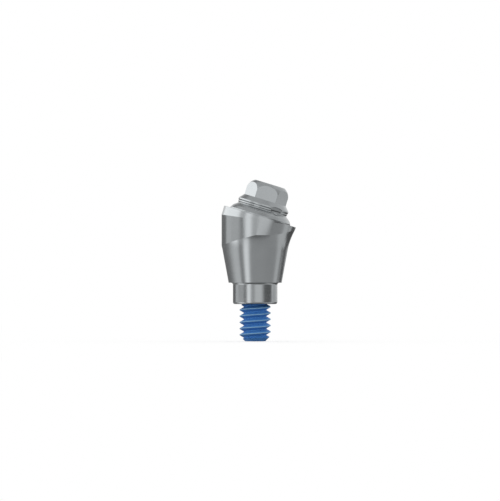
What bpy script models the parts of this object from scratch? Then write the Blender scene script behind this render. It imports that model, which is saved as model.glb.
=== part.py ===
"""Angled dental abutment: titanium body, blue abutment screw and hexagonal post.

Metres, +Z up. The implant axis is the Z axis, and the origin lies in the plane
where the underside of the body's taper sits on the implant. The shoulder and the
post lean towards +X.
"""

import math

import bmesh
import bpy
from mathutils import Matrix, Vector

PART_NAME = "dental_abutment"
CUTTERS_NAME = "dental_abutment_cutters"

# Lean: the leaning axis crosses the implant axis and rises to the shoulder
LEAN = math.radians(17)
AXES_CROSS = 0.003213
SHOULDER_RISE = 0.001086

# Implant end of the body
COLLAR_RADIUS = 0.001425
COLLAR_LENGTH = 0.00137
COLLAR_ROUND = 0.00013
COVE_ROUND = 0.0002
SEAT_RADIUS = 0.0017

# Taper that opens into a flare under the shoulder
TAPER_ANGLE = math.radians(10.5)
FLARE_ANGLE = math.radians(26)
FLARE_HEIGHT = 0.00264
FLARE_ROUND = 0.0041

# Leaning land under the shoulder, and the upright turning that trims its high side
SHOULDER_RADIUS = 0.0024
LAND_DRAFT = math.radians(2)
LAND_DEPTH = 0.0016
TRIM_RADIUS = 0.002397
TRIM_REACH = 0.00215

# Thread of the abutment screw
THREAD_RADIUS = 0.0010
PITCH = 0.0004
FLANK_ANGLE = math.radians(30)
FLAT_SHARE = 0.125
CREST_HEIGHT = -0.001545
SCREW_REACH = 0.003755
TIP_RADIUS = 0.00065
THREAD_ENTRY = 0.00017
RUN_OUT_RADIUS = 0.00066

# Neck and head of the abutment screw
NECK_RADIUS = 0.0007
SCREW_HEAD_RADIUS = 0.00125
SCREW_HEAD_LENGTH = 0.0010
SCREW_HEAD_CHAMFER = 0.00012
DRIVE_ACROSS_FLATS = 0.00127
DRIVE_DEPTH = 0.0007

# Channel for the screw
LEDGE_HEIGHT = 0.00045
CHANNEL_CLEARANCE = 0.00005
CHANNEL_CHAMFER = 0.00006
CONTACT_GAP = 0.00002

# Post: the shank is held in the body, and the ring sits in a shallow register in the shoulder
SHANK_RADIUS = 0.00145
SHANK_LENGTH = 0.0012
SHANK_CHAMFER = 0.00015
SOCKET_CLEARANCE = 0.00004
REGISTER_DEPTH = 0.00006
RING_RADIUS = 0.0020
RING_HEIGHT = 0.00007
KNEE_RADIUS = 0.00188
KNEE_HEIGHT = 0.00026
WAIST_RADIUS = 0.0016
WAIST_HEIGHT = 0.00043
LOWER_RIDGE_RADIUS = 0.00163
LOWER_RIDGE_HEIGHT = 0.00057
GROOVE_RADIUS = 0.00159
GROOVE_HEIGHT = 0.00065
UPPER_RIDGE_RADIUS = 0.00167
UPPER_RIDGE_HEIGHT = 0.00075
TURNING_ROUND = 0.00004
CONE_RADIUS = 0.00165
CONE_HEIGHT = 0.00082

# Hexagon on the post, with its turned crown and blind hole
HEX_ACROSS_FLATS = 0.0024
HEX_BASE = 0.00109
HEX_TOP = 0.00217
HEX_MARGIN = 0.000005
CROWN_DEPTH = 0.00068
CROWN_TOP_RADIUS = 0.00099
HOLE_RADIUS = 0.0006
HOLE_CHAMFER = 0.00005
HOLE_DEPTH = 0.0015
DRILL_POINT = math.radians(59)

# Eye-shaped dimple milled across the ridges, between the front and the low side
DIMPLE_ANGLE = math.radians(-57)
DIMPLE_HEIGHT = 0.00066
DIMPLE_LENGTH = 0.0014
DIMPLE_WIDTH = 0.00048
DIMPLE_DEPTH = 0.00016

# Fineness of the round shapes
BODY_STEPS = 96
POST_STEPS = 72
SCREW_STEPS = 64
THREAD_STEPS = 32
ROUND_STEPS = 5
FLARE_STEPS = 8
MERGE = 0.000001
OVERLAP = 0.0003
SHARP_ANGLE = math.radians(28)

TITANIUM = (0.48, 0.49, 0.50)
POST_TITANIUM = (0.50, 0.51, 0.52)
BLUE_ANODISED = (0.035, 0.125, 0.42)


def clear_scene():
    for thing in list(bpy.data.objects):
        bpy.data.objects.remove(thing, do_unlink=True)


def new_collection(name):
    collection = bpy.data.collections.new(name)
    bpy.context.scene.collection.children.link(collection)
    return collection


def metal(name, colour, roughness):
    material = bpy.data.materials.new(name)
    material.use_nodes = True
    shader = material.node_tree.nodes["Principled BSDF"]
    shader.inputs["Base Color"].default_value = (*colour, 1)
    shader.inputs["Metallic"].default_value = 1
    shader.inputs["Roughness"].default_value = roughness
    material.diffuse_color = (*colour, 1)
    return material


def fillet(before, corner, after, radius, steps):
    """Points along an arc that rounds a corner of an outline, kept short of its neighbours."""
    before, corner, after = Vector(before), Vector(corner), Vector(after)
    back, ahead = (before - corner), (after - corner)
    half = back.angle(ahead) / 2
    room = 0.49 * min(back.length, ahead.length)
    run = min(radius / math.tan(half), room)
    radius = run * math.tan(half)
    start = corner + back.normalized() * run
    centre = corner + (back.normalized() + ahead.normalized()).normalized() * (radius / math.sin(half))
    spoke = start - centre
    sweep = spoke.angle_signed(corner + ahead.normalized() * run - centre)
    return [centre + Matrix.Rotation(-sweep * i / steps, 2) @ spoke for i in range(steps + 1)]


def outline_of(corners, steps=ROUND_STEPS):
    """Points (r, z) of an outline whose corners are (r, z), or (r, z, radius) where they are rounded."""
    outline = []
    for i, corner in enumerate(corners):
        if len(corner) == 2:
            outline.append(Vector(corner))
        else:
            outline += fillet(corners[i - 1][:2], corner[:2], corners[i + 1][:2], corner[2], steps)
    return outline


def mesh_of(name, shape):
    mesh = bpy.data.meshes.new(name)
    shape.to_mesh(mesh)
    shape.free()
    return mesh


def chain(shape, outline):
    """Edges in the XZ plane through points (r, z)."""
    points = [shape.verts.new((r, 0, z)) for r, z in outline]
    return [shape.edges.new(pair) for pair in zip(points, points[1:])]


def turned(name, outline, steps):
    """A solid of revolution. The outline runs from its top on the axis down to its foot."""
    shape = bmesh.new()
    chain(shape, outline)
    solid = bpy.data.objects.new(name, mesh_of(name, shape))
    turn = solid.modifiers.new("Turn", "SCREW")
    turn.axis = "Z"
    turn.angle = math.tau
    turn.steps = steps
    turn.render_steps = steps
    turn.use_merge_vertices = True
    turn.merge_threshold = MERGE
    return solid


def hexagonal_prism(name, across_flats, bottom, top):
    """An upright prism with a corner on +X."""
    corner = across_flats / 2 / math.cos(math.pi / 6)
    middle = Matrix.Translation((0, 0, (bottom + top) / 2))
    corner_to_x = Matrix.Rotation(math.pi / 2, 4, "Z")
    shape = bmesh.new()
    bmesh.ops.create_cone(
        shape,
        cap_ends=True,
        segments=6,
        radius1=corner,
        radius2=corner,
        depth=top - bottom,
        matrix=middle @ corner_to_x,
    )
    return bpy.data.objects.new(name, mesh_of(name, shape))


def combine(solid, tool, operation):
    boolean = solid.modifiers.new(tool.name, "BOOLEAN")
    boolean.operation = operation
    boolean.solver = "EXACT"
    boolean.object = tool


def keep_part(solid, collection, material):
    collection.objects.link(solid)
    solid.data.materials.append(material)
    solid.data.shade_smooth()
    solid.data.set_sharp_from_angle(angle=SHARP_ANGLE)


def keep_cutters(tools, collection):
    for tool in tools:
        collection.objects.link(tool)
        tool.hide_render = True
        tool.display_type = "WIRE"


def leaning_frame():
    """The shoulder's frame: the origin is the shoulder's centre, and Z leans with the post."""
    rise = Matrix.Translation((0, 0, SHOULDER_RISE))
    return Matrix.Translation((0, 0, AXES_CROSS)) @ Matrix.Rotation(LEAN, 4, "Y") @ rise


def make_body():
    """The body, with the list of its cutters."""
    lean = leaning_frame()
    ceiling = (lean @ Vector((-SHOULDER_RADIUS, 0, OVERLAP))).z
    beyond = ceiling + COLLAR_LENGTH + SHOULDER_RADIUS
    flare_radius = SEAT_RADIUS + FLARE_HEIGHT * math.tan(TAPER_ANGLE)
    rim_radius = flare_radius + (ceiling - FLARE_HEIGHT) * math.tan(FLARE_ANGLE)
    flare = fillet(
        (rim_radius, ceiling), (flare_radius, FLARE_HEIGHT), (SEAT_RADIUS, 0), FLARE_ROUND, FLARE_STEPS
    )
    upper = [(0, ceiling), (rim_radius, ceiling), *flare, (SEAT_RADIUS, 0)]
    lower = outline_of(
        [
            (SEAT_RADIUS, 0),
            (COLLAR_RADIUS, 0, COVE_ROUND),
            (COLLAR_RADIUS, -COLLAR_LENGTH, COLLAR_ROUND),
            (0, -COLLAR_LENGTH),
        ]
    )
    body = turned("abutment_body", upper + lower[1:], BODY_STEPS)

    trim_outline = [(0, ceiling + OVERLAP), (TRIM_RADIUS, ceiling + OVERLAP), (TRIM_RADIUS, -beyond), (0, -beyond)]
    trim = turned("upright_trim", trim_outline, BODY_STEPS)
    trim.location.x = TRIM_RADIUS - TRIM_REACH

    land_foot = SHOULDER_RADIUS - LAND_DEPTH * math.tan(LAND_DRAFT)
    land_outline = [
        (0, 0),
        (SHOULDER_RADIUS, 0),
        (land_foot, -LAND_DEPTH),
        (beyond, -LAND_DEPTH),
        (beyond, -beyond),
        (0, -beyond),
    ]
    land = turned("leaning_land", land_outline, BODY_STEPS)
    land.matrix_world = lean

    socket_radius = SHANK_RADIUS + SOCKET_CLEARANCE
    socket_depth = SHANK_LENGTH + SOCKET_CLEARANCE
    register_radius = RING_RADIUS + SOCKET_CLEARANCE
    socket_outline = [
        (0, OVERLAP),
        (register_radius, OVERLAP),
        (register_radius, -REGISTER_DEPTH),
        (socket_radius, -REGISTER_DEPTH),
        (socket_radius, -socket_depth),
        (0, -socket_depth),
    ]
    socket = turned("post_socket", socket_outline, POST_STEPS)
    socket.matrix_world = lean

    pocket_radius = SCREW_HEAD_RADIUS + CHANNEL_CLEARANCE
    channel_radius = THREAD_RADIUS + CHANNEL_CLEARANCE
    pocket_top = (lean @ Vector((-socket_radius, 0, -socket_depth))).z + CHANNEL_CLEARANCE
    channel_outline = [
        (0, pocket_top),
        (pocket_radius, pocket_top),
        (pocket_radius, LEDGE_HEIGHT),
        (channel_radius, LEDGE_HEIGHT),
        (channel_radius, CHANNEL_CHAMFER - COLLAR_LENGTH),
        (channel_radius + CHANNEL_CHAMFER + OVERLAP, -COLLAR_LENGTH - OVERLAP),
        (0, -COLLAR_LENGTH - OVERLAP),
    ]
    channel = turned("screw_channel", channel_outline, SCREW_STEPS)

    combine(body, trim, "INTERSECT")
    combine(body, land, "INTERSECT")
    combine(body, channel, "DIFFERENCE")
    combine(body, socket, "DIFFERENCE")
    return body, [trim, land, channel, socket]


def threaded_rod(name, bottom, top):
    """A closed rod with a right-hand thread, past both heights. A crest meets +X at CREST_HEIGHT."""
    flat = PITCH * FLAT_SHARE
    flank = PITCH / 2 - flat
    root_radius = THREAD_RADIUS - flank / math.tan(FLANK_ANGLE)
    turns_below = math.ceil((CREST_HEIGHT - bottom) / PITCH) + 1
    foot = CREST_HEIGHT - flat / 2 - flank - turns_below * PITCH
    turns = math.ceil((top - foot) / PITCH) + 1
    tooth = [
        (root_radius, foot + PITCH),
        (root_radius, foot + PITCH - flat),
        (THREAD_RADIUS, foot + flank + flat),
        (THREAD_RADIUS, foot + flank),
        (root_radius, foot),
    ]
    shape = bmesh.new()
    bmesh.ops.spin(
        shape,
        geom=chain(shape, tooth),
        cent=(0, 0, 0),
        axis=(0, 0, 1),
        dvec=(0, 0, PITCH / THREAD_STEPS),
        angle=turns * math.tau,
        steps=turns * THREAD_STEPS,
    )
    bmesh.ops.remove_doubles(shape, verts=shape.verts, dist=MERGE)
    rims = [edge for edge in shape.edges if edge.is_boundary]
    caps = bmesh.ops.holes_fill(shape, edges=rims)["faces"]
    bmesh.ops.poke(shape, faces=caps)
    bmesh.ops.recalc_face_normals(shape, faces=shape.faces)
    return bpy.data.objects.new(name, mesh_of(name, shape))


def make_screw():
    """The abutment screw, with the list of its cutters."""
    head_foot = LEDGE_HEIGHT + CONTACT_GAP
    head_top = head_foot + SCREW_HEAD_LENGTH
    thread_top = THREAD_ENTRY - COLLAR_LENGTH
    neck_foot = thread_top - OVERLAP
    head_outline = [
        (0, head_top),
        (SCREW_HEAD_RADIUS - SCREW_HEAD_CHAMFER, head_top),
        (SCREW_HEAD_RADIUS, head_top - SCREW_HEAD_CHAMFER),
        (SCREW_HEAD_RADIUS, head_foot),
        (NECK_RADIUS, head_foot),
        (NECK_RADIUS, neck_foot),
        (0, neck_foot),
    ]
    screw = turned("abutment_screw", head_outline, SCREW_STEPS)

    clear_radius = THREAD_RADIUS + CHANNEL_CLEARANCE
    envelope_outline = [
        (0, thread_top),
        (RUN_OUT_RADIUS, thread_top),
        (clear_radius, thread_top - (clear_radius - RUN_OUT_RADIUS)),
        (clear_radius, clear_radius - TIP_RADIUS - SCREW_REACH),
        (TIP_RADIUS, -SCREW_REACH),
        (0, -SCREW_REACH),
    ]
    envelope = turned("thread_envelope", envelope_outline, SCREW_STEPS)
    thread = threaded_rod("threaded_rod", -SCREW_REACH, thread_top)
    combine(thread, envelope, "INTERSECT")
    drive = hexagonal_prism("drive_socket", DRIVE_ACROSS_FLATS, head_top - DRIVE_DEPTH, head_top + OVERLAP)
    combine(screw, thread, "UNION")
    combine(screw, drive, "DIFFERENCE")
    return screw, [envelope, thread, drive]


def make_dimple_cutter():
    """A flattened ball that lies along the ridges."""
    size = Matrix.Diagonal((DIMPLE_DEPTH, DIMPLE_LENGTH / 2, DIMPLE_WIDTH / 2, 1))
    place = Matrix.Translation((LOWER_RIDGE_RADIUS, 0, DIMPLE_HEIGHT))
    shape = bmesh.new()
    bmesh.ops.create_uvsphere(
        shape,
        u_segments=28,
        v_segments=14,
        radius=1,
        matrix=Matrix.Rotation(DIMPLE_ANGLE, 4, "Z") @ place @ size,
    )
    return bpy.data.objects.new("dimple", mesh_of("dimple", shape))


def crown_arc(outer_radius, steps):
    """Points (r, z) of the crown's arc, from the top face down to where it meets the outer wall."""
    width = outer_radius - CROWN_TOP_RADIUS
    radius = (width**2 + CROWN_DEPTH**2) / (2 * width)
    sweep = math.asin(CROWN_DEPTH / radius)
    angles = [sweep * (1 - i / steps) for i in range(steps + 1)]
    middle = Vector((outer_radius - radius, HEX_TOP - CROWN_DEPTH))
    return [middle + radius * Vector((math.cos(angle), math.sin(angle))) for angle in angles]


def make_post():
    """The post, with the list of its cutters. All are made upright and then leant."""
    hex_corner = HEX_ACROSS_FLATS / 2 / math.cos(math.pi / 6) + HEX_MARGIN
    root_outline = outline_of(
        [
            (0, HEX_BASE),
            (hex_corner, HEX_BASE),
            (CONE_RADIUS, CONE_HEIGHT, TURNING_ROUND),
            (UPPER_RIDGE_RADIUS, UPPER_RIDGE_HEIGHT, TURNING_ROUND),
            (GROOVE_RADIUS, GROOVE_HEIGHT, TURNING_ROUND),
            (LOWER_RIDGE_RADIUS, LOWER_RIDGE_HEIGHT, TURNING_ROUND),
            (WAIST_RADIUS, WAIST_HEIGHT, TURNING_ROUND),
            (KNEE_RADIUS, KNEE_HEIGHT, TURNING_ROUND),
            (RING_RADIUS, RING_HEIGHT, TURNING_ROUND),
            (RING_RADIUS, CONTACT_GAP - REGISTER_DEPTH),
            (SHANK_RADIUS, CONTACT_GAP - REGISTER_DEPTH),
            (SHANK_RADIUS, SHANK_CHAMFER - SHANK_LENGTH),
            (SHANK_RADIUS - SHANK_CHAMFER, -SHANK_LENGTH),
            (0, -SHANK_LENGTH),
        ],
        steps=3,
    )
    post = turned("hex_post", root_outline, POST_STEPS)

    hex_foot = HEX_BASE - OVERLAP
    crown_foot = hex_foot - OVERLAP
    crown_outline = [(0, HEX_TOP), *crown_arc(hex_corner, FLARE_STEPS), (hex_corner, crown_foot), (0, crown_foot)]
    crown = turned("hex_crown", crown_outline, POST_STEPS)
    hexagon = hexagonal_prism("hexagon", HEX_ACROSS_FLATS, hex_foot, HEX_TOP + OVERLAP)
    combine(hexagon, crown, "INTERSECT")

    hole_outline = [
        (0, HEX_TOP + OVERLAP),
        (HOLE_RADIUS + HOLE_CHAMFER + OVERLAP, HEX_TOP + OVERLAP),
        (HOLE_RADIUS, HEX_TOP - HOLE_CHAMFER),
        (HOLE_RADIUS, HEX_TOP - HOLE_DEPTH),
        (0, HEX_TOP - HOLE_DEPTH - HOLE_RADIUS / math.tan(DRILL_POINT)),
    ]
    hole = turned("post_hole", hole_outline, SCREW_STEPS)
    dimple = make_dimple_cutter()

    combine(post, hexagon, "UNION")
    combine(post, dimple, "DIFFERENCE")
    combine(post, hole, "DIFFERENCE")
    tools = [crown, hexagon, hole, dimple]
    for piece in (post, *tools):
        piece.matrix_world = leaning_frame()
    return post, tools


def main():
    clear_scene()
    parts = new_collection(PART_NAME)
    cutters = new_collection(CUTTERS_NAME)
    cutters.hide_render = True
    makes = [
        (make_body, metal("titanium", TITANIUM, 0.25)),
        (make_screw, metal("blue_anodised_titanium", BLUE_ANODISED, 0.32)),
        (make_post, metal("post_titanium", POST_TITANIUM, 0.28)),
    ]
    for make, material in makes:
        solid, tools = make()
        keep_part(solid, parts, material)
        keep_cutters(tools, cutters)


main()
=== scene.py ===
"""Looks of the angled dental abutment: fine turned pieces, metals, floor, studio and camera.

Metres, +Z up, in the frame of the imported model. The implant axis is the Z axis, and the
shoulder and the post lean towards +X.
"""

import math

import bmesh
import bpy
from mathutils import Matrix, Vector


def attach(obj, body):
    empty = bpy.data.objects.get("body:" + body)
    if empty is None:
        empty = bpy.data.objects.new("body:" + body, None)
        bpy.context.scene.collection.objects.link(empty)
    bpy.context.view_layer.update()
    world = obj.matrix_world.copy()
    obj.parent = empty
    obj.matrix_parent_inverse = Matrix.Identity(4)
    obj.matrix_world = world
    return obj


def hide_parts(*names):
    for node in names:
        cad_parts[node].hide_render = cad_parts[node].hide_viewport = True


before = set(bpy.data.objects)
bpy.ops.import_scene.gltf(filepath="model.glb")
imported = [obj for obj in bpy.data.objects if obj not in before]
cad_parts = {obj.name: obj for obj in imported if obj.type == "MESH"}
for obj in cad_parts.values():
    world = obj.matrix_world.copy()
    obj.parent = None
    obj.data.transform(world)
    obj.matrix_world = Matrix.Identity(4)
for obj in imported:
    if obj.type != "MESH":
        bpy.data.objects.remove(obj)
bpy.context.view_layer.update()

# Lean: the leaning axis crosses the implant axis and rises to the shoulder
LEAN = math.radians(17)
AXES_CROSS = 0.003213
SHOULDER_RISE = 0.001086

# Implant end of the body
COLLAR_RADIUS = 0.001425
COLLAR_LENGTH = 0.00137
COLLAR_ROUND = 0.00013
COVE_ROUND = 0.0002
SEAT_RADIUS = 0.0017

# Taper that opens into a flare under the shoulder
TAPER_ANGLE = math.radians(10.5)
FLARE_ANGLE = math.radians(26)
FLARE_HEIGHT = 0.00264
FLARE_ROUND = 0.0041

# Leaning land under the shoulder, and the upright turning that trims its high side
SHOULDER_RADIUS = 0.0024
LAND_DRAFT = math.radians(0.3)
LAND_DEPTH = 0.0016
TRIM_RADIUS = 0.002398
TRIM_REACH = 0.002152

# Thread of the abutment screw
THREAD_RADIUS = 0.0010
PITCH = 0.0004
FLANK_ANGLE = math.radians(30)
FLAT_SHARE = 0.125
CREST_HEIGHT = -0.001545
CREST_ROUND = 0.000016
ROOT_ROUND = 0.00002
SCREW_REACH = 0.003755
TIP_RADIUS = 0.00065
THREAD_ENTRY = 0.00017
RUN_OUT_RADIUS = 0.00066

# Neck and head of the abutment screw
NECK_RADIUS = 0.0007
SCREW_HEAD_RADIUS = 0.00125
SCREW_HEAD_LENGTH = 0.0010
SCREW_HEAD_CHAMFER = 0.00012
DRIVE_ACROSS_FLATS = 0.00127
DRIVE_DEPTH = 0.0007

# Channel for the screw
LEDGE_HEIGHT = 0.00045
CHANNEL_CLEARANCE = 0.00005
CHANNEL_CHAMFER = 0.00006
CONTACT_GAP = 0.00002

# Post: the shank is held in the body, and the ring sits in a shallow register in the shoulder
SHANK_RADIUS = 0.00145
SHANK_LENGTH = 0.0012
SHANK_CHAMFER = 0.00015
SOCKET_CLEARANCE = 0.00004
REGISTER_DEPTH = 0.00006
RING_RADIUS = 0.0020
RING_HEIGHT = 0.00007
TURNING_ROUND = 0.00004

# Neck of the post, upwards from the ring: knee, waist, two ridges with a groove, and cone
KNEE_RADIUS = 0.00188
KNEE_HEIGHT = 0.00025
KNEE_ROUND = 0.00009
WAIST_RADIUS = 0.001585
WAIST_HEIGHT = 0.00048
WAIST_ROUND = 0.00011
LOWER_RIDGE_RADIUS = 0.001645
LOWER_RIDGE_HEIGHT = 0.00057
GROOVE_RADIUS = 0.001615
GROOVE_HEIGHT = 0.00064
UPPER_RIDGE_RADIUS = 0.00167
UPPER_RIDGE_HEIGHT = 0.0007
RIDGE_ROUND = 0.0001
CONE_RADIUS = 0.00165
CONE_HEIGHT = 0.0008

# Hexagon on the post, with its turned crown and blind hole
HEX_ACROSS_FLATS = 0.0024
HEX_BASE = 0.00109
HEX_TOP = 0.00217
HEX_MARGIN = 0.000005
CROWN_DEPTH = 0.00068
CROWN_TOP_RADIUS = 0.00099
HOLE_RADIUS = 0.0006
HOLE_CHAMFER = 0.00005
HOLE_DEPTH = 0.0015
DRILL_POINT = math.radians(59)

# Eye-shaped dimple milled across the ridges, between the front and the low side
DIMPLE_ANGLE = math.radians(-57)
DIMPLE_HEIGHT = 0.00066
DIMPLE_LENGTH = 0.0014
DIMPLE_WIDTH = 0.00048
DIMPLE_DEPTH = 0.00009
DIMPLE_OFFSET = 0.0002

# Fineness of the shapes. A fillet takes just under half of the shorter side at most.
EDGE_BREAK = 0.000018
FILLET_SHARE = 0.49
BODY_STEPS = 288
POST_STEPS = 240
SCREW_STEPS = 192
THREAD_STEPS = 128
ROUND_STEPS = 16
EDGE_STEPS = 3
PRISM_EDGE_STEPS = 4
BALL_SEGMENTS = 96
BALL_RINGS = 64
MERGE = 0.000001
OVERLAP = 0.0003
SHARP_ANGLE = math.radians(7)

# Finishes. The turning marks are given by their depth, and the painted highlight on the thread's
# crests by the radii, in millimetres, between which it comes in.
TITANIUM = (0.324, 0.34, 0.348)
POST_TITANIUM = (0.312, 0.328, 0.336)
BLUE_ANODISED = (0.066, 0.235, 0.57)
# Lighter blue painted on the thread's crests as a painted highlight
CREST_HIGHLIGHT_BLUE = (0.2, 0.38, 0.58)
CREST_HIGHLIGHT_RADII = (0.98, 0.996)
MARK_DEPTH = 0.00000006
FAINT_MARK_DEPTH = 0.00000002

# Pattern of turned metal: rings and clouds per millimetre, and how far they change its look
FINE_RINGS = 38.0
BROAD_RINGS = 7.0
CLOUDS = 1.6
SHADE_CHANGE = 0.06
GLOSS_CHANGE = 0.05

# Photograph: its size in pixels, and where its scale puts the frame's origin
PHOTO_WIDTH = 500
PHOTO_HEIGHT = 501
PIXELS_PER_METRE = 15580
ORIGIN_PIXEL = (255.15, 282.7)
CAMERA_DISTANCE = 0.6
SENSOR_WIDTH = 0.036

# Floor, and studio cards on balls about the object
FLOOR_HEIGHT = -0.00378
FLOOR_RADIUS = 0.09
FLOOR_STEPS = 96
FLOOR_GREY = 0.4
FLOOR_GLOW = 0.6
CARD_DISTANCE = 0.15
CARD_STEP = 0.003
CARD_SQUARES = 24

# Millimetres in a metre, and the colour of floor glow and surroundings
MILLIMETRES = 1000.0
WHITE = (1, 1, 1, 1)


def fillet(before, corner, after, radius, steps):
    """Points along an arc that rounds a corner of an outline, kept short of its neighbours."""
    before, corner, after = Vector(before), Vector(corner), Vector(after)
    back, ahead = (before - corner), (after - corner)
    half = back.angle(ahead) / 2
    room = FILLET_SHARE * min(back.length, ahead.length)
    run = min(radius / math.tan(half), room)
    radius = run * math.tan(half)
    start = corner + back.normalized() * run
    inward = (back.normalized() + ahead.normalized()).normalized()
    centre = corner + inward * (radius / math.sin(half))
    spoke = start - centre
    sweep = spoke.angle_signed(corner + ahead.normalized() * run - centre)
    return [centre + Matrix.Rotation(-sweep * i / steps, 2) @ spoke for i in range(steps + 1)]


def outline_of(corners, steps=ROUND_STEPS):
    """Points (r, z) of an outline. Its corners are (r, z), or (r, z, radius) where rounded."""
    outline = []
    for i, corner in enumerate(corners):
        if len(corner) == 2:
            outline.append(Vector(corner))
        else:
            outline += fillet(corners[i - 1][:2], corner[:2], corners[i + 1][:2], corner[2], steps)
    return outline


def mesh_of(name, shape):
    """The mesh of a finished shape, which is freed."""
    mesh = bpy.data.meshes.new(name)
    shape.to_mesh(mesh)
    shape.free()
    return mesh


def placed(name, data):
    """An object in the scene that holds a mesh or a camera."""
    thing = bpy.data.objects.new(name, data)
    bpy.context.scene.collection.objects.link(thing)
    return thing


def solid_from(name, shape, material):
    """A solid of one material, made from a finished shape."""
    mesh = mesh_of(name, shape)
    mesh.materials.append(material)
    return placed(name, mesh)


def chain(shape, outline):
    """Edges in the XZ plane through points (r, z)."""
    points = [shape.verts.new((r, 0, z)) for r, z in outline]
    return [shape.edges.new(pair) for pair in zip(points, points[1:])]


def turned(name, outline, steps, material):
    """A solid of revolution. The outline runs from its top on the axis down to its foot."""
    shape = bmesh.new()
    chain(shape, outline)
    solid = solid_from(name, shape, material)
    turn = solid.modifiers.new("Turn", "SCREW")
    turn.axis = "Z"
    turn.angle = math.tau
    turn.steps = steps
    turn.render_steps = steps
    turn.use_merge_vertices = True
    turn.merge_threshold = MERGE
    return solid


def hexagonal_prism(name, across_flats, bottom, top, material):
    """An upright prism with a corner on +X and slightly broken upright edges."""
    corner = across_flats / 2 / math.cos(math.pi / 6)
    middle = Matrix.Translation((0, 0, (bottom + top) / 2))
    corner_to_x = Matrix.Rotation(math.pi / 2, 4, "Z")
    shape = bmesh.new()
    bmesh.ops.create_cone(
        shape,
        cap_ends=True,
        segments=6,
        radius1=corner,
        radius2=corner,
        depth=top - bottom,
        matrix=middle @ corner_to_x,
    )
    upright = [e for e in shape.edges if abs(e.verts[0].co.z - e.verts[1].co.z) > MERGE]
    bmesh.ops.bevel(
        shape,
        geom=upright,
        offset=EDGE_BREAK,
        segments=PRISM_EDGE_STEPS,
        profile=0.5,
        affect="EDGES",
    )
    return solid_from(name, shape, material)


def combine(solid, tool, operation):
    """Cut a solid with a tool, or join it on. Each face keeps its own material."""
    boolean = solid.modifiers.new(tool.name, "BOOLEAN")
    boolean.operation = operation
    boolean.solver = "EXACT"
    boolean.material_mode = "TRANSFER"
    boolean.object = tool


def finish_piece(solid, tools, name, node, body):
    """The evaluated solid as one smooth-shaded piece that stands for a CAD node."""
    graph = bpy.context.evaluated_depsgraph_get()
    mesh = bpy.data.meshes.new_from_object(solid.evaluated_get(graph))
    mesh.transform(solid.matrix_world)
    mesh.name = name
    for thing in (solid, *tools):
        bpy.data.objects.remove(thing, do_unlink=True)
    mesh.shade_smooth()
    mesh.set_sharp_from_angle(angle=SHARP_ANGLE)
    piece = placed(name, mesh)
    weigh = piece.modifiers.new("Weighted normals", "WEIGHTED_NORMAL")
    weigh.mode = "FACE_AREA"
    weigh.keep_sharp = True
    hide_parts(node)
    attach(piece, body)


def leaning_frame():
    """The shoulder's frame: the origin is the shoulder's centre, and Z leans with the post."""
    rise = Matrix.Translation((0, 0, SHOULDER_RISE))
    return Matrix.Translation((0, 0, AXES_CROSS)) @ Matrix.Rotation(LEAN, 4, "Y") @ rise


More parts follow.
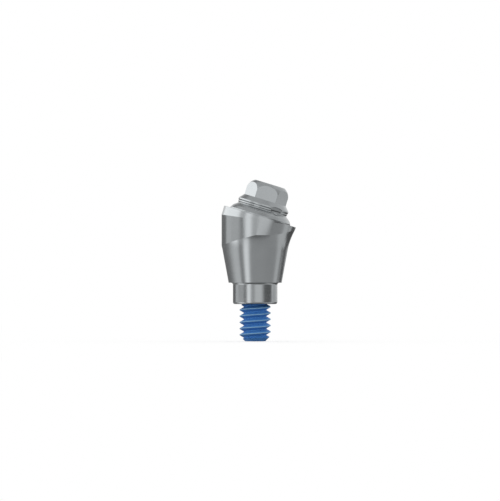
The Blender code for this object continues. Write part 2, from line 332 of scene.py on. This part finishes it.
def make_body(upright_metal, leaning_metal, bore_metal):
    """The body: a turned blank, trimmed upright and leaning, and bored for screw and post."""
    lean = leaning_frame()
    ceiling = (lean @ Vector((-SHOULDER_RADIUS, 0, OVERLAP))).z
    beyond = ceiling + COLLAR_LENGTH + SHOULDER_RADIUS
    flare_radius = SEAT_RADIUS + FLARE_HEIGHT * math.tan(TAPER_ANGLE)
    rim_radius = flare_radius + (ceiling - FLARE_HEIGHT) * math.tan(FLARE_ANGLE)
    rim = (rim_radius, ceiling)
    flare = (flare_radius, FLARE_HEIGHT)
    seat = (SEAT_RADIUS, 0)
    cove = (COLLAR_RADIUS, 0)
    upper = [
        (0, ceiling),
        rim,
        *fillet(rim, flare, seat, FLARE_ROUND, ROUND_STEPS),
        *fillet(flare, seat, cove, EDGE_BREAK, EDGE_STEPS),
    ]
    lower = outline_of(
        [
            seat,
            (*cove, COVE_ROUND),
            (COLLAR_RADIUS, -COLLAR_LENGTH, COLLAR_ROUND),
            (0, -COLLAR_LENGTH),
        ]
    )
    body = turned("blank", upper + lower[1:], BODY_STEPS, upright_metal)

    trim_outline = [
        (0, ceiling + OVERLAP),
        (TRIM_RADIUS, ceiling + OVERLAP),
        (TRIM_RADIUS, -beyond),
        (0, -beyond),
    ]
    trim = turned("upright_trim", trim_outline, BODY_STEPS, upright_metal)
    trim.location.x = TRIM_RADIUS - TRIM_REACH

    land_foot = SHOULDER_RADIUS - LAND_DEPTH * math.tan(LAND_DRAFT)
    land_outline = outline_of(
        [
            (0, 0),
            (SHOULDER_RADIUS, 0, EDGE_BREAK),
            (land_foot, -LAND_DEPTH),
            (beyond, -LAND_DEPTH),
            (beyond, -beyond),
            (0, -beyond),
        ],
        steps=EDGE_STEPS,
    )
    land = turned("leaning_land", land_outline, BODY_STEPS, leaning_metal)
    land.matrix_world = lean

    socket_radius = SHANK_RADIUS + SOCKET_CLEARANCE
    socket_depth = SHANK_LENGTH + SOCKET_CLEARANCE
    register_radius = RING_RADIUS + SOCKET_CLEARANCE
    socket_outline = [
        (0, OVERLAP),
        (register_radius, OVERLAP),
        (register_radius, -REGISTER_DEPTH),
        (socket_radius, -REGISTER_DEPTH),
        (socket_radius, -socket_depth),
        (0, -socket_depth),
    ]
    socket = turned("post_socket", socket_outline, POST_STEPS, bore_metal)
    socket.matrix_world = lean

    pocket_radius = SCREW_HEAD_RADIUS + CHANNEL_CLEARANCE
    channel_radius = THREAD_RADIUS + CHANNEL_CLEARANCE
    pocket_top = (lean @ Vector((-socket_radius, 0, -socket_depth))).z + CHANNEL_CLEARANCE
    channel_outline = [
        (0, pocket_top),
        (pocket_radius, pocket_top),
        (pocket_radius, LEDGE_HEIGHT),
        (channel_radius, LEDGE_HEIGHT),
        (channel_radius, CHANNEL_CHAMFER - COLLAR_LENGTH),
        (channel_radius + CHANNEL_CHAMFER + OVERLAP, -COLLAR_LENGTH - OVERLAP),
        (0, -COLLAR_LENGTH - OVERLAP),
    ]
    channel = turned("screw_channel", channel_outline, SCREW_STEPS, bore_metal)

    combine(body, trim, "INTERSECT")
    combine(body, land, "INTERSECT")
    combine(body, channel, "DIFFERENCE")
    combine(body, socket, "DIFFERENCE")
    tools = [trim, land, channel, socket]
    finish_piece(body, tools, "turned_body", "abutment_body", "abutment")


def threaded_rod(name, bottom, top, material):
    """A rod with a right-hand thread, past both heights. A crest meets +X at CREST_HEIGHT."""
    flat = PITCH * FLAT_SHARE
    flank = PITCH / 2 - flat
    root_radius = THREAD_RADIUS - flank / math.tan(FLANK_ANGLE)
    turns_below = math.ceil((CREST_HEIGHT - bottom) / PITCH) + 1
    foot = CREST_HEIGHT - flat / 2 - flank - turns_below * PITCH
    turns = math.ceil((top - foot) / PITCH) + 1
    tooth = outline_of(
        [
            (root_radius, foot + PITCH - flat / 2),
            (root_radius, foot + PITCH - flat, ROOT_ROUND),
            (THREAD_RADIUS, foot + flank + flat, CREST_ROUND),
            (THREAD_RADIUS, foot + flank, CREST_ROUND),
            (root_radius, foot, ROOT_ROUND),
            (root_radius, foot - flat / 2),
        ],
        steps=EDGE_STEPS,
    )
    shape = bmesh.new()
    bmesh.ops.spin(
        shape,
        geom=chain(shape, tooth),
        cent=(0, 0, 0),
        axis=(0, 0, 1),
        dvec=(0, 0, PITCH / THREAD_STEPS),
        angle=turns * math.tau,
        steps=turns * THREAD_STEPS,
    )
    bmesh.ops.remove_doubles(shape, verts=shape.verts, dist=MERGE)
    rims = [edge for edge in shape.edges if edge.is_boundary]
    caps = bmesh.ops.holes_fill(shape, edges=rims)["faces"]
    bmesh.ops.poke(shape, faces=caps)
    bmesh.ops.recalc_face_normals(shape, faces=shape.faces)
    return solid_from(name, shape, material)


def make_screw(blue_metal):
    """The abutment screw, its head and neck turned and its thread cut to the envelope."""
    head_foot = LEDGE_HEIGHT + CONTACT_GAP
    head_top = head_foot + SCREW_HEAD_LENGTH
    thread_top = THREAD_ENTRY - COLLAR_LENGTH
    neck_foot = thread_top - OVERLAP
    head_outline = [
        (0, head_top),
        (SCREW_HEAD_RADIUS - SCREW_HEAD_CHAMFER, head_top),
        (SCREW_HEAD_RADIUS, head_top - SCREW_HEAD_CHAMFER),
        (SCREW_HEAD_RADIUS, head_foot),
        (NECK_RADIUS, head_foot),
        (NECK_RADIUS, neck_foot),
        (0, neck_foot),
    ]
    screw = turned("screw_blank", head_outline, SCREW_STEPS, blue_metal)

    clear_radius = THREAD_RADIUS + CHANNEL_CLEARANCE
    envelope_outline = outline_of(
        [
            (0, thread_top),
            (RUN_OUT_RADIUS, thread_top),
            (clear_radius, thread_top - (clear_radius - RUN_OUT_RADIUS)),
            (clear_radius, clear_radius - TIP_RADIUS - SCREW_REACH),
            (TIP_RADIUS, -SCREW_REACH, EDGE_BREAK),
            (0, -SCREW_REACH),
        ],
        steps=EDGE_STEPS,
    )
    envelope = turned("thread_envelope", envelope_outline, SCREW_STEPS, blue_metal)
    thread = threaded_rod("threaded_rod", -SCREW_REACH, thread_top, blue_metal)
    combine(thread, envelope, "INTERSECT")

    drive_foot = head_top - DRIVE_DEPTH
    drive_top = head_top + OVERLAP
    drive = hexagonal_prism("drive_socket", DRIVE_ACROSS_FLATS, drive_foot, drive_top, blue_metal)
    combine(screw, thread, "UNION")
    combine(screw, drive, "DIFFERENCE")
    tools = [envelope, thread, drive]
    finish_piece(
        screw, tools, "anodised_screw", "abutment_screw", "screw"
    )


def make_dimple_cutter(material):
    """A flattened ball along the ridges, its middle outside them so that the rim is soft."""
    reach = DIMPLE_DEPTH + DIMPLE_OFFSET
    spread = 1 / math.sqrt(1 - (DIMPLE_OFFSET / reach) ** 2)
    size = Matrix.Diagonal((reach, spread * DIMPLE_LENGTH / 2, spread * DIMPLE_WIDTH / 2, 1))
    middle = Matrix.Translation((LOWER_RIDGE_RADIUS + DIMPLE_OFFSET, 0, DIMPLE_HEIGHT))
    shape = bmesh.new()
    bmesh.ops.create_uvsphere(
        shape,
        u_segments=BALL_SEGMENTS,
        v_segments=BALL_RINGS,
        radius=1,
        matrix=Matrix.Rotation(DIMPLE_ANGLE, 4, "Z") @ middle @ size,
    )
    return solid_from("dimple", shape, material)


def crown_arc(outer_radius, steps):
    """Points (r, z) of the crown's arc, from the top face down to where it meets the wall."""
    width = outer_radius - CROWN_TOP_RADIUS
    radius = (width**2 + CROWN_DEPTH**2) / (2 * width)
    sweep = math.asin(CROWN_DEPTH / radius)
    angles = [sweep * (1 - i / steps) for i in range(steps + 1)]
    middle = Vector((outer_radius - radius, HEX_TOP - CROWN_DEPTH))
    return [middle + radius * Vector((math.cos(angle), math.sin(angle))) for angle in angles]


def make_post(turned_metal, milled_metal, bore_metal):
    """The post: a turned root and a milled hexagon, made upright and then leant."""
    hex_corner = HEX_ACROSS_FLATS / 2 / math.cos(math.pi / 6) + HEX_MARGIN
    root_outline = outline_of(
        [
            (0, HEX_BASE),
            (hex_corner, HEX_BASE),
            (CONE_RADIUS, CONE_HEIGHT, TURNING_ROUND),
            (UPPER_RIDGE_RADIUS, UPPER_RIDGE_HEIGHT, RIDGE_ROUND),
            (GROOVE_RADIUS, GROOVE_HEIGHT, RIDGE_ROUND),
            (LOWER_RIDGE_RADIUS, LOWER_RIDGE_HEIGHT, RIDGE_ROUND),
            (WAIST_RADIUS, WAIST_HEIGHT, WAIST_ROUND),
            (KNEE_RADIUS, KNEE_HEIGHT, KNEE_ROUND),
            (RING_RADIUS, RING_HEIGHT, TURNING_ROUND),
            (RING_RADIUS, CONTACT_GAP - REGISTER_DEPTH),
            (SHANK_RADIUS, CONTACT_GAP - REGISTER_DEPTH),
            (SHANK_RADIUS, SHANK_CHAMFER - SHANK_LENGTH),
            (SHANK_RADIUS - SHANK_CHAMFER, -SHANK_LENGTH),
            (0, -SHANK_LENGTH),
        ],
    )
    post = turned("post_blank", root_outline, POST_STEPS, turned_metal)

    hex_foot = HEX_BASE - OVERLAP
    hex_ceiling = HEX_TOP + OVERLAP
    crown_foot = hex_foot - OVERLAP
    arc = crown_arc(hex_corner, 2 * ROUND_STEPS)
    rim = fillet((0, HEX_TOP), arc[0], arc[1], EDGE_BREAK, EDGE_STEPS)
    crown_outline = [(0, HEX_TOP), *rim, *arc[1:], (hex_corner, crown_foot), (0, crown_foot)]
    crown = turned("hex_crown", crown_outline, POST_STEPS, turned_metal)
    hexagon = hexagonal_prism("hexagon", HEX_ACROSS_FLATS, hex_foot, hex_ceiling, milled_metal)
    combine(hexagon, crown, "INTERSECT")

    hole_outline = [
        (0, hex_ceiling),
        (HOLE_RADIUS + HOLE_CHAMFER + OVERLAP, hex_ceiling),
        (HOLE_RADIUS, HEX_TOP - HOLE_CHAMFER),
        (HOLE_RADIUS, HEX_TOP - HOLE_DEPTH),
        (0, HEX_TOP - HOLE_DEPTH - HOLE_RADIUS / math.tan(DRILL_POINT)),
    ]
    hole = turned("post_hole", hole_outline, SCREW_STEPS, bore_metal)
    dimple = make_dimple_cutter(milled_metal)

    combine(post, hexagon, "UNION")
    combine(post, dimple, "DIFFERENCE")
    combine(post, hole, "DIFFERENCE")
    tools = [crown, hexagon, hole, dimple]
    for piece in (post, *tools):
        piece.matrix_world = leaning_frame()
    finish_piece(post, tools, "turned_post", "hex_post", "abutment")


class Nodes:
    """A material's node tree, with short calls to add and join nodes."""

    def __init__(self, material):
        material.use_nodes = True
        self.tree = material.node_tree
        self.shader = self.tree.nodes["Principled BSDF"]

    def add(self, kind, **inputs):
        """A node. Its inputs are named by socket, or by number as in i0, for values or sockets."""
        node = self.tree.nodes.new(kind)
        for key, value in inputs.items():
            numbered = key[0] == "i" and key[1:].isdigit()
            self.put(node.inputs[int(key[1:]) if numbered else key.replace("_", " ")], value)
        return node

    def put(self, socket, value):
        """Set a socket to a value, or join another node's socket to it."""
        if isinstance(value, bpy.types.NodeSocket):
            self.tree.links.new(value, socket)
        else:
            socket.default_value = value

    def result(self, kind, operation, values):
        """What a maths node of some kind makes of its values."""
        node = self.add(kind, **{f"i{i}": value for i, value in enumerate(values)})
        node.operation = operation
        return node.outputs[0]

    def maths(self, operation, *values):
        """The result of one operation on numbers."""
        return self.result("ShaderNodeMath", operation, values)

    def vector_maths(self, operation, *values):
        """The result of one operation on vectors or colours."""
        return self.result("ShaderNodeVectorMath", operation, values)

    def spread(self, value, low, high):
        """A value between 0 and 1 mapped to between low and high."""
        return self.add("ShaderNodeMapRange", Value=value, To_Min=low, To_Max=high).outputs[0]

    def faded(self, place, share):
        """1 over the middle of a card, falling to 0 at both edges, from the place across it."""
        inward = self.maths("MINIMUM", place, self.maths("SUBTRACT", 1.0, place))
        fade = self.add("ShaderNodeMapRange", Value=inward, From_Max=share)
        fade.interpolation_type = "SMOOTHSTEP"
        return fade.outputs[0]

    def mean(self, first, second):
        """Halfway between two numbers."""
        return self.maths("MULTIPLY", self.maths("ADD", first, second), 0.5)

    def noise(self, vector, scale, detail):
        """Cloudy noise between 0 and 1."""
        node = self.add("ShaderNodeTexNoise", Vector=vector, Scale=scale, Detail=detail)
        return node.outputs[0]


def turning_coordinates(nodes, leaning):
    """In millimetres: (radius, 0, height) about the turning axis, the place and the radius."""
    place = nodes.add("ShaderNodeTexCoord").outputs["Object"]
    if leaning:
        upright = leaning_frame().inverted()
        place = nodes.add(
            "ShaderNodeMapping",
            Vector=place,
            Location=upright.to_translation(),
            Rotation=upright.to_euler(),
        ).outputs[0]
    x, y, z = nodes.add("ShaderNodeSeparateXYZ", Vector=place).outputs
    squares = nodes.maths("ADD", nodes.maths("MULTIPLY", x, x), nodes.maths("MULTIPLY", y, y))
    radius = nodes.maths("MULTIPLY", nodes.maths("SQRT", squares), MILLIMETRES)
    height = nodes.maths("MULTIPLY", z, MILLIMETRES)
    rings = nodes.add("ShaderNodeCombineXYZ", X=radius, Z=height).outputs[0]
    surface = nodes.vector_maths("MULTIPLY", place, (MILLIMETRES, MILLIMETRES, MILLIMETRES))
    return rings, surface, radius


def metal(
    name,
    colour,
    roughness,
    leaning=False,
    metallic=1.0,
    specular=0.5,
    marks=MARK_DEPTH,
    crest=None,
):
    """Turned metal: rings about the turning axis in the bump and the gloss, over faint clouds.

    A crest is the colour of the painted highlight on the thread's crests, a lighter blue that
    stands in for their glint.
    """
    material = bpy.data.materials.new(name)
    nodes = Nodes(material)
    rings, surface, radius = turning_coordinates(nodes, leaning)
    fine = nodes.noise(rings, FINE_RINGS, detail=3.0)
    broad = nodes.noise(rings, BROAD_RINGS, detail=2.0)
    cloud = nodes.noise(surface, CLOUDS, detail=4.0)

    shade = nodes.spread(nodes.mean(broad, cloud), 1 - SHADE_CHANGE, 1 + SHADE_CHANGE)
    tone = nodes.vector_maths("MULTIPLY", colour, shade)
    # Painted highlight: the thread's crests turn a lighter blue towards their full radius,
    # standing in for the glint on them
    if crest:
        start, full = CREST_HIGHLIGHT_RADII
        painted_highlight = nodes.add("ShaderNodeMapRange", Value=radius, From_Min=start, From_Max=full)
        highlight_change = Vector(crest) - Vector(colour)
        tone = nodes.vector_maths("MULTIPLY_ADD", painted_highlight.outputs[0], highlight_change, tone)
    gloss = nodes.spread(
        nodes.mean(fine, cloud), roughness - GLOSS_CHANGE, roughness + GLOSS_CHANGE
    )
    bump = nodes.add("ShaderNodeBump", Height=fine, Strength=1.0, Distance=marks)
    nodes.put(nodes.shader.inputs["Base Color"], tone)
    nodes.put(nodes.shader.inputs["Metallic"], metallic)
    nodes.put(nodes.shader.inputs["Specular IOR Level"], specular)
    nodes.put(nodes.shader.inputs["Roughness"], gloss)
    nodes.put(nodes.shader.inputs["Normal"], bump.outputs[0])
    return material


def patch(name, azimuths, elevations, distance):
    """The mesh of a patch of a ball about the object, between two azimuths and elevations."""
    low_azimuth, high_azimuth = azimuths
    low_elevation, high_elevation = elevations
    shape = bmesh.new()
    shape.loops.layers.uv.new("place")
    bmesh.ops.create_grid(
        shape, x_segments=CARD_SQUARES, y_segments=CARD_SQUARES, size=0.5, calc_uvs=True
    )
    for point in shape.verts:
        across, up = point.co.x + 0.5, point.co.y + 0.5
        azimuth = math.radians(low_azimuth + across * (high_azimuth - low_azimuth))
        elevation = math.radians(low_elevation + up * (high_elevation - low_elevation))
        level = math.cos(elevation)
        point.co = distance * Vector(
            (math.sin(azimuth) * level, -math.cos(azimuth) * level, math.sin(elevation))
        )
    return mesh_of(name, shape)


def studio_card(name, azimuths, elevations, brightness, soft, distance):
    """A softbox or a grey card that only reflections see, with edges that fade.

    All angles are in degrees: two azimuths, two elevations, and the width of the fading edges
    across and up the card. Azimuth 0 is the camera's side.
    """
    card = placed(name, patch(name, azimuths, elevations, distance))
    material = bpy.data.materials.new(name)
    nodes = Nodes(material)
    nodes.tree.nodes.remove(nodes.shader)
    place = nodes.add("ShaderNodeTexCoord").outputs["UV"]
    across, up, _ = nodes.add("ShaderNodeSeparateXYZ", Vector=place).outputs
    cover = nodes.maths(
        "MULTIPLY",
        nodes.faded(across, soft[0] / (azimuths[1] - azimuths[0])),
        nodes.faded(up, soft[1] / (elevations[1] - elevations[0])),
    )
    glow = nodes.add("ShaderNodeEmission", Strength=brightness).outputs[0]
    clear = nodes.add("ShaderNodeBsdfTransparent").outputs[0]
    mix = nodes.add("ShaderNodeMixShader", i0=cover, i1=clear, i2=glow).outputs[0]
    nodes.put(nodes.tree.nodes["Material Output"].inputs["Surface"], mix)
    card.data.materials.append(material)
    card.visible_camera = False
    card.visible_diffuse = False
    card.visible_transmission = False
    card.visible_shadow = False


def make_studio():
    """White surroundings, with softboxes and grey cards round the object.

    Each card is nearer than the one before it, so later cards cover earlier ones.
    """
    world = bpy.data.worlds.new("studio")
    bpy.context.scene.world = world
    world.use_nodes = True
    world.node_tree.nodes["Background"].inputs["Color"].default_value = WHITE
    world.node_tree.nodes["Background"].inputs["Strength"].default_value = 1.0

    cards = [
        ("overhead_grey", (-180, 180), (57, 90), 0.86, (1, 8)),
        ("ring_grey", (-20, 80), (48, 68), 0.58, (10, 7)),
        ("grey_surround", (-100, 90), (-90, 4), 0.62, (8, 8)),
        ("side_left_light", (-140, -58), (-30, -3), 1.1, (8, 6)),
        ("back_left_dark", (-200, -119), (-15, 8), 0.24, (6, 5)),
        ("low_left_dark", (-215, -80), (-60, -4), 0.35, (42, 6)),
        ("back_right_dark", (105, 200), (-16, -2), 0.13, (7, 4)),
        ("low_right_dark", (118, 200), (-60, -9), 0.13, (8, 5)),
        ("side_right_light", (113, 130), (-18, -9.5), 1.0, (3, 2)),
        ("right_high_grey", (38, 100), (8, 50), 0.75, (10, 10)),
        ("softbox_upper_left", (-150, -58), (6, 48), 2.2, (10, 9)),
        ("back_high_dark", (-188, -132), (22, 62), 0.42, (9, 9)),
        ("low_left_light", (-125, -58), (-54, -21), 2.25, (14, 10)),
        ("softbox_back_right", (98, 160), (3, 22), 1.15, (8, 5)),
        ("right_dark", (42, 97), (-11, 16), 0.17, (7, 7)),
        ("front_light", (-8, 42), (-14, 40), 1.3, (12, 12)),
        ("strip_light", (-49, -17), (-50, 40), 1.85, (12, 9)),
        ("gap_dark", (-64, -43), (-30, 12), 0.38, (7, 7)),
        ("under_dark", (-180, 180), (-90, -54), 0.3, (1, 8)),
        ("under_front_dark", (-55, 60), (-62, -38), 0.2, (8, 6)),
    ]
    for order, (name, azimuths, elevations, brightness, soft) in enumerate(cards):
        distance = CARD_DISTANCE - order * CARD_STEP
        studio_card(name, azimuths, elevations, brightness, soft, distance)


def make_floor():
    """A matt grey floor that keeps the object's shadow, and looks white by a glow of its own."""
    shape = bmesh.new()
    bmesh.ops.create_circle(shape, cap_ends=True, segments=FLOOR_STEPS, radius=FLOOR_RADIUS)
    floor = placed("floor", mesh_of("floor", shape))
    floor.location.z = FLOOR_HEIGHT
    material = bpy.data.materials.new("floor")
    nodes = Nodes(material)
    rays = nodes.add("ShaderNodeLightPath").outputs
    seen = nodes.maths("MAXIMUM", rays["Is Camera Ray"], rays["Is Glossy Ray"])
    seen = nodes.maths("MAXIMUM", seen, rays["Is Transmission Ray"])
    glow = nodes.maths("MULTIPLY", seen, FLOOR_GLOW)
    nodes.put(nodes.shader.inputs["Base Color"], (FLOOR_GREY, FLOOR_GREY, FLOOR_GREY, 1))
    nodes.put(nodes.shader.inputs["Roughness"], 1.0)
    nodes.put(nodes.shader.inputs["Specular IOR Level"], 0.0)
    nodes.put(nodes.shader.inputs["Emission Color"], WHITE)
    nodes.put(nodes.shader.inputs["Emission Strength"], glow)
    floor.data.materials.append(material)
    floor.visible_glossy = False
    floor.visible_shadow = False


def make_camera():
    """A long lens level with the object, framed as the photograph is."""
    data = bpy.data.cameras.new("camera")
    data.sensor_fit = "HORIZONTAL"
    data.sensor_width = SENSOR_WIDTH * MILLIMETRES
    width = PHOTO_WIDTH / PIXELS_PER_METRE
    data.lens = SENSOR_WIDTH * MILLIMETRES * CAMERA_DISTANCE / width
    data.clip_start = CAMERA_DISTANCE / 10
    data.clip_end = CAMERA_DISTANCE * 10
    camera = placed("camera", data)
    aim_x = (PHOTO_WIDTH / 2 - ORIGIN_PIXEL[0]) / PIXELS_PER_METRE
    aim_z = (ORIGIN_PIXEL[1] - PHOTO_HEIGHT / 2) / PIXELS_PER_METRE
    camera.location = (aim_x, -CAMERA_DISTANCE, aim_z)
    camera.rotation_euler = (math.pi / 2, 0, 0)
    bpy.context.scene.camera = camera


make_camera()
upright = metal("upright_turned_titanium", TITANIUM, roughness=0.22)
leaning = metal("leaning_turned_titanium", TITANIUM, roughness=0.22, leaning=True)
bore = metal("bored_titanium", TITANIUM, roughness=0.3)
post_turned = metal(
    "turned_post_titanium", POST_TITANIUM, roughness=0.26, leaning=True, marks=FAINT_MARK_DEPTH
)
post_milled = metal("milled_post_titanium", POST_TITANIUM, roughness=0.12)
anodised = metal(
    "blue_anodised_titanium",
    BLUE_ANODISED,
    roughness=0.5,
    metallic=0.15,
    specular=0.15,
    crest=CREST_HIGHLIGHT_BLUE,
)
make_body(upright, leaning, bore)
make_screw(anodised)
make_post(post_turned, post_milled, bore)
make_studio()
make_floor()
bpy.context.scene.view_settings.view_transform = "Standard"
